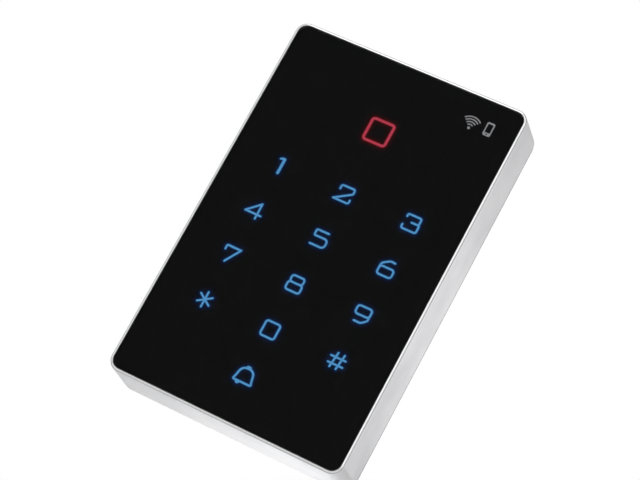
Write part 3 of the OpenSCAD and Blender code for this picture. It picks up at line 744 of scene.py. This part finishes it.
def add_ribbon(bm, path, closed, width, front, layer=None, core=(), edge=()):
    """A printed stroke: a thin ribbon with round ends. Its glow, if any, is strongest in the middle."""
    sections = []
    last = len(path) - 1
    for i, (at, along) in enumerate(zip(path, directions(path, closed))):
        across = Vector((-along.y, along.x))
        if closed or 0 < i < last:
            into = (at - path[i - 1]).normalized()
            across = across * min(1.0 / max(across.dot(Vector((-into.y, into.x))), 0.5), 1.4)
        sections.append((at, across, 1.0))
    if not closed:
        ends = []
        for (at, across, _), before in ((sections[0], path[1]), (sections[-1], path[-2])):
            out = (at - before).normalized() * width / 2
            ends.append([(at + out * sin(t), across, cos(t))
                         for t in map(radians, (25, 50, 75))])
        sections = ends[0][::-1] + sections + ends[1]
    rows = []
    for centre, across, scale in sections:
        row = []
        for lane in (-1.0, -0.72, -0.36, 0.0, 0.36, 0.72, 1.0):
            at = centre + across * (lane * scale * width / 2)
            vert = bm.verts.new((at.x, front + (INK_T if abs(lane) == 1.0 else 0.0), at.y))
            if layer:
                mix = min(1.0, (abs(lane) / 0.9) ** 2.0)
                vert[layer] = [c * (1 - mix) + e * mix for c, e in zip(core, edge)] + [1.0]
            row.append(vert)
        rows.append(row)
    for a, b in list(zip(rows, rows[1:])) + ([(rows[-1], rows[0])] if closed else []):
        for k in range(len(a) - 1):
            bm.faces.new((a[k], a[k + 1], b[k + 1], b[k]))


def lit_symbols(name, groups, width, core, edge):
    """Every stroke of the given symbols as glowing ink behind the glass."""
    bm = bmesh.new()
    layer = bm.verts.layers.float_color.new("glow")
    for strokes, x, z in groups:
        for k, (closed, path) in enumerate(stroke_paths(strokes, x, z)):
            add_ribbon(bm, path, closed, width, INK_Y + 0.001 * k, layer, core, edge)
    piece = object_from(bm, name)
    for face in piece.data.polygons:
        if face.normal.y > 0:
            face.flip()
    finish_piece(piece, "lit_ink")


def distance_to_paths(points, paths):
    """Distance from each point to the nearest stroke centre line."""
    best = np.full(len(points), 1e9)
    for closed, path in paths:
        ends = path[1:] + (path[:1] if closed else [])
        for a, b in zip(path, ends):
            a, b = np.array(a), np.array(b)
            span = b - a
            t = np.clip(((points - a) @ span) / max(span @ span, 1e-9), 0, 1)
            best = np.minimum(best, np.linalg.norm(points - (a + t[:, None] * span), axis=1))
    return best


def add_glow_patch(bm, layer, x, z, reach, strokes, width, colour, fade):
    """A fine grid of print round a symbol, whose glow dies away from the strokes."""
    n = int(2 * reach / GLOW_PITCH)
    ticks = [-reach + 2 * reach * k / n for k in range(n + 1)]
    points = np.array([(x + u, z + v) for v in ticks for u in ticks])
    away = np.maximum(distance_to_paths(points, stroke_paths(strokes, x, z)) - width / 2, 0)
    border = np.array([min(1.0, (reach - max(abs(u), abs(v))) / 0.8) for v in ticks for u in ticks])
    verts = []
    for (px, pz), g in zip(points, np.exp(-(away / fade) ** 1.3) * border):
        vert = bm.verts.new((px, PRINT_Y, pz))
        vert[layer] = [c * float(g) for c in colour] + [1.0]
        verts.append(vert)
    for row in range(n):
        for column in range(n):
            i = row * (n + 1) + column
            bm.faces.new((verts[i], verts[i + 1], verts[i + n + 2], verts[i + n + 1]))


def printed_film():
    """The black print behind the glass, with light leaking round each lit symbol."""
    bm = bmesh.new()
    layer = bm.verts.layers.float_color.new("glow")
    add_plate(bm, GLASS_SHAPE, [], PRINT_Y + 0.01, PRINT_BACK_Y, 0.02)
    for vert in bm.verts:
        vert[layer] = (0.0, 0.0, 0.0, 1.0)
    for name, x, z in key_places():
        add_glow_patch(bm, layer, x, z, 5.2, SYMBOLS[name], STROKE_W, BLUE_HALO, 0.55)
    add_glow_patch(bm, layer, 0.0, INDICATOR_Z, 7.0, INDICATOR, INDICATOR_STROKE, RED_HALO, 0.6)
    finish_piece(object_from(bm, "printed_film"), "black_print", "mask_film")


def status_icons():
    """Grey printed icons, whose ink carries a faint painted glow: waves over a dot, and a small handset."""
    bm = bmesh.new()
    add_lathe(bm, [(0.36, INK_Y), (0.46, INK_Y + INK_T)], ICON_X, ICON_Z, 20)
    stroke, half_wedge = 0.40, 45.0
    for r in (1.25, 2.15, 3.03, 3.9):
        reach = half_wedge - degrees(stroke / 2 / r)
        points = [Vector(p) for p in arc(ICON_X, ICON_Z, r, 90 + reach, -2 * reach, 16)]
        add_ribbon(bm, points, False, stroke, INK_Y)
    screen = rounded_rect(1.8, 2.95, 0.15, PHONE_X, PHONE_Z + 0.25, 3)
    button = disc(0.25, PHONE_X, PHONE_Z - 1.75, 16)
    case = rounded_rect(2.6, 4.6, 0.5, PHONE_X, PHONE_Z, 5)
    add_plate(bm, case, [screen, button], INK_Y, INK_Y + INK_T, 0.004)
    finish_piece(object_from(bm, "status_icons"), "grey_ink", "status_icon_ink")


# ---------- Back: cover, bracket, screws, header and tamper switch ----------

def cross_recess(x, z):
    """A tapered cross that cuts a cover screw's driver recess."""
    reach, width, depth = 1.35, 0.62, 0.95
    bm = bmesh.new()
    for turn in (0, 90):
        bar = add_box(bm, (0, -depth / 2 + 0.2, 0), (2 * reach, depth + 0.4, width))
        for v in bar:
            if v.co.y < 0:
                v.co.x *= 0.62
                v.co.z *= 0.75
        place = Matrix.Translation((x, SCREW_TOP_Y, z)) @ Matrix.Rotation(radians(turn), 4, "Y")
        bmesh.ops.transform(bm, matrix=place, verts=bar)
    return bm


def rear_cover():
    """The moulded back: flange, raised block, bracket pocket, openings and screw seats."""
    bm = bmesh.new()
    front = COVER_LOW.y
    grow = DRAFT - (FRAME_HIGH.x - COVER_HIGH.x)
    flange = rounded_rect(BODY_W + 2 * grow, BODY_H + 2 * grow, BODY_R + grow, steps=12)
    inset = WALL + 0.2
    raised = rounded_rect(BODY_W - 2 * inset, BODY_H - 2 * inset, BODY_R - inset, steps=12)
    outside = rim(flange, 0.0, -1, 0.3, -1) + [(flange(0), -FLANGE_T), (raised(0), -FLANGE_T)]
    outer_back, outer_front = wall_between(bm, outside + rim(raised, front, 1, 0.2, -1)[::-1])

    pocket = rounded_rect(POCKET_W, POCKET_TOP - POCKET_BOTTOM, 3, 0, (POCKET_TOP + POCKET_BOTTOM) / 2, 8)
    pocket_wall = rim(pocket, 0.0, -1, 0.25, 1) + [(pocket(0), POCKET_Y + 0.2), (pocket(-0.2), POCKET_Y)]
    pocket_back, pocket_floor = wall_between(bm, pocket_wall)

    header = HEADER_HIGH - HEADER_LOW
    cable_opening = rounded_rect(header.x + 0.6, header.z + 0.6, 0.4, 0, 0, 4)
    plunger_hole = disc(1.7, TAMPER_X, TAMPER_Z, 32)
    tab_slot = rounded_rect(14, 2.8, 0.4, 0, 54.5, 4)
    hook_slots = [rounded_rect(9.6, 5.6, 0.5, s * HOOK_X, -54.7, 4) for s in (-1, 1)]
    holes = [wall_between(bm, rim(shape, POCKET_Y, -1, 0.2, 1) + rim(shape, front, 1, 0.15, 1)[::-1])
             for shape in [cable_opening, plunger_hole, tab_slot] + hook_slots]
    seats = [wall_between(bm, [(seat(1.75), 0.0), (seat(1.62), -0.06), (seat(1.5), -0.06),
                               (seat(0), -1.6), (seat(0), front)])
             for seat in (disc(1.45, x, z, 36) for x, z in COVER_SCREWS)]
    cap(bm, [outer_back, pocket_back] + [back for back, _ in seats])
    cap(bm, [pocket_floor] + [floor for floor, _ in holes])
    cap(bm, [outer_front] + [end for _, end in holes + seats])
    finish_piece(object_from(bm, "moulded_cover"), "black_abs", "rear_cover")


def cover_screws():
    """Four countersunk screws with cross recesses and threaded shanks."""
    bm = bmesh.new()
    top, neck = SCREW_TOP_Y, COVER_LOW.y
    head = [(2.35, top), (2.55, top - 0.06), (2.6, top - 0.16), (1.3, top - 1.4), (1.3, neck)]
    for x, z in COVER_SCREWS:
        add_lathe(bm, head, x, z, 36)
        add_thread(bm, x, z, 1.03, 0.22, 0.5, neck + 0.02, -11, 16, 6)
    piece = object_from(bm, "cover_screw_set")
    for x, z in COVER_SCREWS:
        combine(piece, cross_recess(x, z), "DIFFERENCE")
    finish_piece(piece, "black_steel", "cover_screws")


def bent_strip(width, x, path, bend):
    """A strip of the bracket's sheet metal: path is (y, z) along its middle, rounded at each bend."""
    line = rounded_path(path, bend, step=10.0)
    left, right = [], []
    for at, along in zip(line, directions(line)):
        across = Vector((-along.y, along.x)) * BRACKET_T / 2
        left.append(at + across)
        right.append(at - across)
    outline = left + right[::-1]
    bm = bmesh.new()
    ends = [[bm.verts.new((x + s * width / 2, q.x, q.y)) for q in outline] for s in (-1, 1)]
    bridge(bm, ends)
    for end in ends:
        bm.faces.new(end)
    return bm


def wall_bracket():
    """Pressed steel plate with a top tab, two bottom hooks and stiffening beads."""
    t = BRACKET_T
    top, bottom = BRACKET_HIGH.z, BRACKET_LOW.z
    body = rounded_rect(BRACKET_HIGH.x - BRACKET_LOW.x, top - bottom, 3, 0, (top + bottom) / 2, 8)
    cable_window = rounded_rect(34, 24, 2, 0, 0, 6)
    plunger_hole = disc(3.2, TAMPER_X, TAMPER_Z, 36)
    wall_holes = [disc(2.1, 0, s * spacing / 2, 32) for spacing in WALL_HOLE_SPACINGS for s in (-1, 1)]
    bm = bmesh.new()
    add_plate(bm, body, [cable_window, plunger_hole] + wall_holes, -t, 0.0, 0.16)
    piece = object_from(bm, "steel_bracket")

    for s in (-1, 1):
        combine(piece, block((s * BEAD_X, 0.1, 0), (2.4, 1.0, BEAD_LENGTH), 0.38), "DIFFERENCE")
        combine(piece, block((s * BEAD_X, -t, 0), (2.8, 0.9, BEAD_LENGTH + 0.4), 0.4), "UNION")
        notch = bmesh.new()
        add_plate(notch, rounded_rect(1.0, 6, 0.5, s * 6.6, top, 4), [], -t - 1, 1, 0.01)
        combine(piece, notch, "DIFFERENCE")
    tab = [(-t / 2, top - 4), (-t / 2, top - t / 2), (BRACKET_LOW.y, top - t / 2)]
    combine(piece, bent_strip(12, 0, tab, 1.0), "UNION")
    tab_hole = [(1.95, top + 0.05), (1.7, top - 0.25), (1.7, top - 3)]
    combine(piece, turned(tab_hole, steps=32, upright=True), "DIFFERENCE")
    tip_y = -7.6 + t / 2
    hook = [(-t / 2, bottom + 5), (-t / 2, bottom + t / 2), (tip_y, bottom + t / 2), (tip_y, -49.5)]
    for s in (-1, 1):
        combine(piece, bent_strip(8, s * HOOK_X, hook, 1.1), "UNION")
    round_piece(piece, 0.1)
    finish_piece(piece, "zinc_steel", "wall_bracket", "bracket")


def lock_screw():
    """The lock screw: a domed head with a hex socket over a threaded shank."""
    top, base, tip = SCREW_HIGH.z, SCREW_HIGH.z - 1.8, SCREW_LOW.z
    bm = bmesh.new()
    add_lathe(bm, [(2.05, top), (2.4, top - 0.08), (2.62, top - 0.32), (2.7, top - 0.7),
                   (2.7, base + 0.15), (2.55, base)])
    add_thread(bm, 0, 0, M3_R, 0.26, M3_PITCH, base + 0.02, tip + 0.5, 28, 8)
    add_lathe(bm, [(1.2, tip + 0.52), (0.75, tip)], 0, 0, 28)
    bm.transform(LOCK_AXIS)
    piece = object_from(bm, "lock_screw_turned")
    socket = [(1.45, top + 0.2), (1.2, top - 0.12), (1.2, top - 1.0), (0.6, top - 1.25)]
    combine(piece, turned(socket, steps=6, upright=True), "DIFFERENCE")
    finish_piece(piece, "stainless", "lock_screw", "lock_screw_body")


def lock_washer():
    """A flat stamped washer with one rounded side."""
    low, high = WASHER_LOW.z + SEAT_CLEARANCE, WASHER_HIGH.z
    profile = [(1.6, low + 0.04), (1.64, low), (2.9, low), (3.0, low + 0.08), (3.0, high - 0.16),
               (2.95, high - 0.06), (2.84, high), (1.66, high), (1.6, high - 0.05)]
    bm = bmesh.new()
    bridge(bm, [ring(bm, disc(r)(0), y) for r, y in profile], closed=True)
    bm.transform(LOCK_AXIS)
    finish_piece(object_from(bm, "flat_washer"), "stainless", "lock_washer", "lock_carrier")


def tamper_plunger():
    """The moulded plunger with a domed tip and a collar."""
    tip, tail = PLUNGER_HIGH.y, PLUNGER_LOW.y
    dome = [(1.3 * cos(t), tip - 0.4 + 0.4 * sin(t))
            for t in map(radians, (88, 70, 50, 30, 10))]
    stem = [(1.3, tip - 0.5), (1.6, tip - 0.62), (1.6, -4.12), (2.6, -4.12), (2.7, -4.2),
            (2.7, -4.8), (2.6, -4.9), (1.6, -4.9), (1.6, tail + 0.2), (1.4, tail)]
    finish_piece(object_from(turned(dome + stem, TAMPER_X, TAMPER_Z, 36), "red_plunger"),
                 "tamper_red", "tamper_plunger", "plunger")


def tamper_spring():
    """A wound spring with closed ends."""
    wire, turns, steps_per_turn = 0.16, 5.0, 28
    r = (SPRING_HIGH.x - SPRING_LOW.x) / 2 - wire
    low, high = SPRING_LOW.y + wire, SPRING_HIGH.y - wire
    points = []
    steps = int(turns * steps_per_turn)
    for k in range(steps + 1):
        turn = turns * k / steps
        climb = min(max((turn - 0.9) / (turns - 1.8), 0.0), 1.0)
        t = 2 * pi * turn
        share = 0.06 * min(turn, 1.0) + 0.88 * climb + 0.06 * max(0.0, turn - turns + 1.0)
        y = low + (high - low) * share
        points.append((TAMPER_X + r * cos(t), y, TAMPER_Z + r * sin(t)))
    bm = bmesh.new()
    add_wire(bm, points, wire)
    piece = finish_piece(object_from(bm, "plunger_spring"), "spring_steel", "tamper_spring")
    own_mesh(piece)


def cable_header():
    """The white pin header with its keyed wall, and its square pins."""
    front, back = HEADER_LOW.y, HEADER_HIGH.y
    w, h = HEADER_HIGH.x - HEADER_LOW.x, HEADER_HIGH.z - HEADER_LOW.z
    wall = 0.9
    outside = rounded_rect(w, h, 0.35, 0, 0, 4)
    inside = rounded_rect(w - 2 * wall, h - 2 * wall, 0.25, 0, 0, 4)
    bm = bmesh.new()
    outer_back, outer_front = wall_between(bm, rim(outside, back, -1, 0.12, -1)
                                           + rim(outside, front, 1, 0.12, -1)[::-1])
    inner_back, inner_floor = wall_between(bm, [(inside(0.25), back), (inside(0), back - 0.35),
                                                (inside(0), front + 1.2)])
    for loops in ([outer_back, inner_back], [inner_floor], [outer_front]):
        cap(bm, loops)
    piece = object_from(bm, "white_header")
    key_low, key_high = front + 4.2, back + 1
    key = block((0, (key_low + key_high) / 2, HEADER_LOW.z), (8, key_high - key_low, 1.2 + wall))
    combine(piece, key, "DIFFERENCE")
    finish_piece(piece, "white_moulding", "cable_header")

    pins = bmesh.new()
    tip = node_box("header_pins")[1].y
    for i in range(PIN_COUNT):
        square = rounded_rect(PIN_SIDE, PIN_SIDE, 0.04, (i - PIN_COUNT // 2) * PIN_PITCH, 0, 2)
        stages = [(square(0), front), (square(0), tip - 0.7), (square(-0.2), tip)]
        closed_tube(pins, [ring(pins, outline, y) for outline, y in stages])
    finish_piece(object_from(pins, "gold_pins"), "gold_copper", "header_pins")


def antenna_coil():
    """The aerial: turns of enamelled wire laid side by side."""
    wire = 0.24
    size = COIL_HIGH - COIL_LOW
    outline = rounded_rect(size.x, size.z, 5, 0, INDICATOR_Z, 6)
    layers = int(size.y / (2 * wire))
    bm = bmesh.new()
    for layer in range(layers):
        y = COIL_LOW.y + wire + layer * (size.y - 2 * wire) / (layers - 1)
        for lane in range(5):
            add_wire(bm, [(x, y, z) for x, z in outline(-wire - lane * 2 * wire)], wire, closed=True)
    finish_piece(object_from(bm, "aerial_winding"), "enamel_copper", "antenna_coil", sharp=180.0)


# ---------- Floor, light and camera ----------

# The floor is three rings of this radius, in metres
FLOOR_Z, FLOOR_RINGS = -0.32, (0.4, 1.5, 4.5)
# Brightness of the surroundings from straight in front (-1) to straight behind (1)
SURROUNDINGS = [(-1.0, 0.05), (-0.80, 0.05), (-0.50, 0.95), (0.30, 0.95), (0.75, 0.70), (1.0, 0.60)]
# Behind, the upper left and lower right are this much darker than the other two quarters
CORNER_SHADE = 0.35
# name, place, size and power of each soft light
SOFT_LIGHTS = [
    ("soft_top", (-0.25, 0.15, 0.9), (0.7, 0.7), 1.0),
    ("soft_right", (0.9, -0.1, 0.2), (0.6, 0.8), 0.35),
    ("soft_back_high", (0.29, 0.83, 0.18), (0.30, 0.14), 0.12),
    ("soft_back_low", (-0.14, 0.83, -0.20), (0.34, 0.18), 0.40),
]
CAMERA_TARGET = (0.00041, -0.02003, 0.00003)
CAMERA_DISTANCE = 0.70074
CAMERA_AZIMUTH, CAMERA_ELEVATION, CAMERA_ROLL = 19.216, -13.467, 28.787
CAMERA_LENS = 128.68


def pale_floor():
    """A round, plain floor."""
    bm = bmesh.new()
    turns = [2 * pi * i / 64 for i in range(64)]
    rings = [[bm.verts.new((r * cos(t), r * sin(t), FLOOR_Z)) for t in turns]
             for r in FLOOR_RINGS]
    bridge(bm, rings)
    bm.faces.new(rings[0])
    mesh = bpy.data.meshes.new("studio_floor")
    bm.to_mesh(mesh)
    bm.free()
    mesh.materials.append(MATERIALS["studio_floor"])
    in_scene("studio_floor", mesh)


def surroundings():
    """White to the camera. To the reader, bright all round but dark in front: the glass stays black."""
    world = bpy.data.worlds.new("studio")
    bpy.context.scene.world = world
    world.use_nodes = True
    world.node_tree.nodes.clear()

    def node(kind, links=(), **values):
        return add_node(world.node_tree, kind, links, **values).outputs

    axes = node("ShaderNodeSeparateXYZ", {0: node("ShaderNodeTexCoord")["Generated"]})
    depth = node("ShaderNodeMapRange", {"Value": axes["Y"], "From Min": -1.0})[0]
    ramp = add_node(world.node_tree, "ShaderNodeValToRGB", {0: depth})
    stops = ramp.color_ramp.elements
    while len(stops) < len(SURROUNDINGS):
        stops.new(0.5)
    for stop, (y, level) in zip(stops, SURROUNDINGS):
        stop.position = (y + 1) / 2
        stop.color = (level, level, level, 1.0)
    diagonal = node("ShaderNodeMath", {0: axes["X"], 1: axes["Z"]}, operation="MULTIPLY")[0]
    corners = node("ShaderNodeMapRange", {"Value": diagonal, "From Min": -0.09, "From Max": 0.08,
                                          "To Min": CORNER_SHADE, "To Max": 0.0})[0]
    behind = node("ShaderNodeMapRange", {"Value": axes["Y"], "From Min": 0.5, "From Max": 0.9})[0]
    darker = node("ShaderNodeMath", {0: corners, 1: behind}, operation="MULTIPLY")[0]
    level = node("ShaderNodeMath", {0: ramp.outputs[0], 1: darker}, operation="SUBTRACT", use_clamp=True)[0]
    white = (1.0, 1.0, 1.0, 1.0)
    around = node("ShaderNodeBackground", {"Color": white, "Strength": level})[0]
    seen = node("ShaderNodeBackground", {"Color": white})[0]
    camera_ray = node("ShaderNodeLightPath")["Is Camera Ray"]
    mix = node("ShaderNodeMixShader", {0: camera_ray, 1: around, 2: seen})[0]
    node("ShaderNodeOutputWorld", {"Surface": mix})


def soft_lights():
    """Large soft lamps, all turned to the reader."""
    for name, place, size, power in SOFT_LIGHTS:
        lamp = bpy.data.lights.new(name, "AREA")
        lamp.shape = "RECTANGLE"
        lamp.size, lamp.size_y = size
        lamp.energy = power
        holder = in_scene(name, lamp)
        holder.location = place
        holder.visible_camera = False
        holder.rotation_euler = (-Vector(place)).to_track_quat("-Z", "Y").to_euler()


def camera():
    """The camera, below and to the right of the reader, tipped so that the reader leans to the right."""
    azimuth, tilt, roll = map(radians, (CAMERA_AZIMUTH, 90 - CAMERA_ELEVATION, CAMERA_ROLL))
    turn = (Matrix.Rotation(azimuth, 4, "Z") @ Matrix.Rotation(tilt, 4, "X")
            @ Matrix.Rotation(roll, 4, "Z"))
    data = bpy.data.cameras.new("photo_camera")
    data.lens = CAMERA_LENS
    data.clip_start = 0.01
    holder = in_scene("photo_camera", data)
    away = Matrix.Translation((0, 0, CAMERA_DISTANCE))
    holder.matrix_world = Matrix.Translation(CAMERA_TARGET) @ turn @ away
    bpy.context.scene.camera = holder


make_materials()
camera()
pale_floor()
surroundings()
soft_lights()
bpy.context.scene.view_settings.view_transform = "Standard"

finish_cad_nodes()
front_frame()
glass_panel()
printed_film()
lit_symbols("lit_key_symbols", [(SYMBOLS[name], x, z) for name, x, z in key_places()],
            STROKE_W, BLUE_CORE, BLUE_EDGE)
lit_symbols("lit_indicator", [(INDICATOR, 0.0, INDICATOR_Z)],
            INDICATOR_STROKE, RED_CORE, RED_EDGE)
status_icons()
rear_cover()
cover_screws()
wall_bracket()
lock_screw()
lock_washer()
tamper_plunger()
tamper_spring()
cable_header()
antenna_coil()
